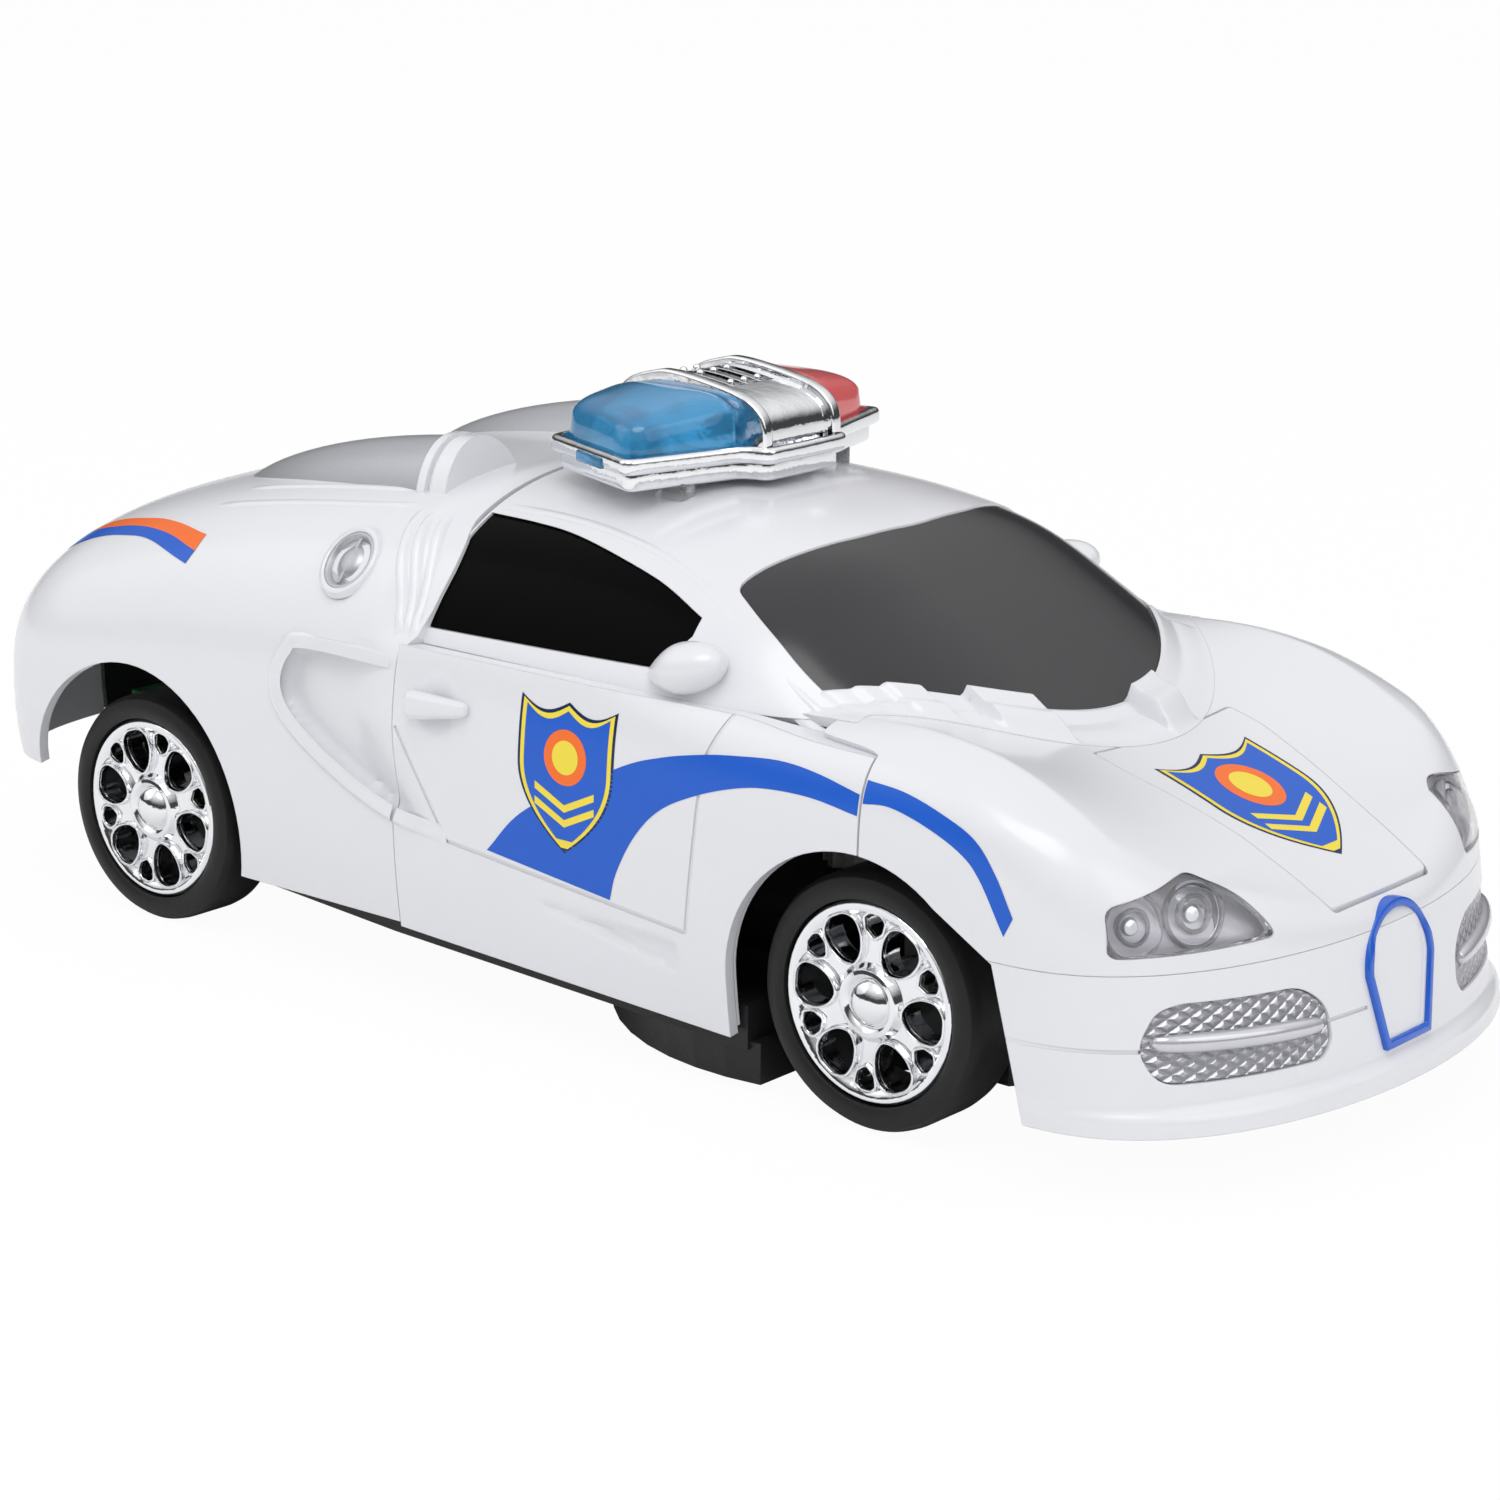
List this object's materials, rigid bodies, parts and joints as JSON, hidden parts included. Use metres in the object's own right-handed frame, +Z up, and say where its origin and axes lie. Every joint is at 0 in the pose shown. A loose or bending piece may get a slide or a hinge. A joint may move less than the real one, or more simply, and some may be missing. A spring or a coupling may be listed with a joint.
{
  "type": "transforming robot car toy",
  "caption": "Battery-driven toy patrol car with a roof light bar; the hinged front half lifts, its sides spread as arms and the hood flap turns up a robot head.",
  "frame": {"origin": "middle of the car's box, at the ground under its wheels", "axes": "+X to the nose, +Y to the car's left side, +Z up"},
  "size_m": [0.2312, 0.0966, 0.0864],
  "materials": {
    "white_shell": "gloss moulded ABS",
    "black_plastic": "fine moulded texture",
    "dark_glazing": "gloss tinted pane",
    "silver_paint": "silver paint over plastic",
    "chrome": "bright vacuum-plated plastic",
    "tyre": "smooth moulded rubber",
    "blue_lens": "tinted clear plastic",
    "red_lens": "tinted clear plastic",
    "clear_lens": "clear plastic over reflectors",
    "blue_paint": "blue paint over plastic",
    "grey_robot": "moulded grey plastic",
    "steel": "drawn steel",
    "board": "green laminate",
    "cell": "printed sleeve",
    "gear_plastic": "natural acetal"
  },
  "bodies": {
    "chassis": {"chassis_tray": "black_plastic", "rear_shell": "white_shell", "tail_panel": "black_plastic", "air_intake_right": "silver_paint", "air_intake_left": "silver_paint", "filler_cap_right": "silver_paint", "filler_cap_left": "silver_paint", "battery_door": "black_plastic", "battery_door_screw": "steel", "battery_cell_1": "cell", "battery_cell_2": "cell", "battery_cell_3": "cell", "turret_bridge": "black_plastic", "lift_gearbox": "black_plastic", "lift_motor": "steel", "circuit_board": "board", "speaker": "black_plastic", "lift_hinge_pin": "steel"},
    "front_half": {"cabin_shell": "white_shell", "windscreen": "dark_glazing", "side_window_right": "dark_glazing", "side_window_left": "dark_glazing", "mirror_right": "white_shell", "mirror_left": "white_shell", "hood_shell": "white_shell", "front_bumper": "white_shell", "headlamp_right": "clear_lens", "headlamp_left": "clear_lens", "fog_lamp_right": "clear_lens", "fog_lamp_left": "clear_lens", "grille_frame": "blue_paint", "cowl_moulding": "white_shell", "light_bar_tray": "chrome", "light_bar_lens_right": "blue_lens", "light_bar_lens_left": "red_lens", "light_bar_cover": "chrome", "robot_chest": "grey_robot"},
    "right_arm": {"side_panel_right": "white_shell", "robot_arm_right": "grey_robot"},
    "left_arm": {"side_panel_left": "white_shell", "robot_arm_left": "grey_robot"},
    "flap": {"hood_flap": "white_shell", "robot_head": "grey_robot"},
    "lever": {"lift_lever": "gear_plastic"},
    "rear_wheels": {"rear_axle": "steel", "rear_rim_right": "chrome", "rear_rim_left": "chrome", "rear_tyre_right": "tyre", "rear_tyre_left": "tyre"},
    "front_wheels": {"front_axle": "steel", "front_rim_right": "chrome", "front_rim_left": "chrome", "front_tyre_right": "tyre", "front_tyre_left": "tyre"},
    "turret": {"drive_turret": "black_plastic", "turret_gear": "gear_plastic"},
    "drive_wheels": {"drive_axle": "steel", "drive_wheel_right": "tyre", "drive_wheel_left": "tyre"},
    "switch": {"power_switch": "gear_plastic"}
  },
  "joints": [
    {"name": "front_lift", "type": "hinge", "parent": "chassis", "child": "front_half", "pos_m": [-0.02384, 0, 0.0704], "axis": [0, -1, 0], "range_deg": [0, 55]},
    {"name": "right_arm_spread", "type": "hinge", "parent": "front_half", "child": "right_arm", "pos_m": [0.05976, -0.0462, 0.0524], "axis": [0, 0, 1], "range_deg": [0, 55]},
    {"name": "left_arm_spread", "type": "hinge", "parent": "front_half", "child": "left_arm", "pos_m": [0.05976, 0.0462, 0.0524], "axis": [0, 0, -1], "range_deg": [0, 55]},
    {"name": "flap_turn", "type": "hinge", "parent": "front_half", "child": "flap", "pos_m": [0.07706, 0, 0.046], "axis": [0, -1, 0], "range_deg": [0, 82.5]},
    {"name": "lever_turn", "type": "hinge", "parent": "chassis", "child": "lever", "pos_m": [-0.01854, 0, 0.032], "axis": [0, -1, 0], "range_deg": [0, 38.5]},
    {"name": "rear_axle_spin", "type": "hinge", "parent": "chassis", "child": "rear_wheels", "pos_m": [-0.07554, 0, 0.01724], "axis": [0, 1, 0], "continuous": true},
    {"name": "front_axle_spin", "type": "hinge", "parent": "chassis", "child": "front_wheels", "pos_m": [0.06046, 0, 0.01754], "axis": [0, 1, 0], "continuous": true},
    {"name": "turret_swivel", "type": "hinge", "parent": "chassis", "child": "turret", "pos_m": [0.02926, 0, 0.0176], "axis": [0, 0, 1], "continuous": true},
    {"name": "drive_axle_spin", "type": "hinge", "parent": "turret", "child": "drive_wheels", "pos_m": [0.02926, 0, 0.008], "axis": [0, 1, 0], "continuous": true},
    {"name": "switch_slide", "type": "slide", "parent": "chassis", "child": "switch", "axis": [1, 0, 0], "range_m": [0, 0.004]}
  ],
  "couplings": [
    {"joint": "right_arm_spread", "follows": "front_lift", "ratio": 1},
    {"joint": "left_arm_spread", "follows": "front_lift", "ratio": 1},
    {"joint": "flap_turn", "follows": "front_lift", "ratio": 1.5},
    {"joint": "lever_turn", "follows": "front_lift", "ratio": 0.7}
  ]
}
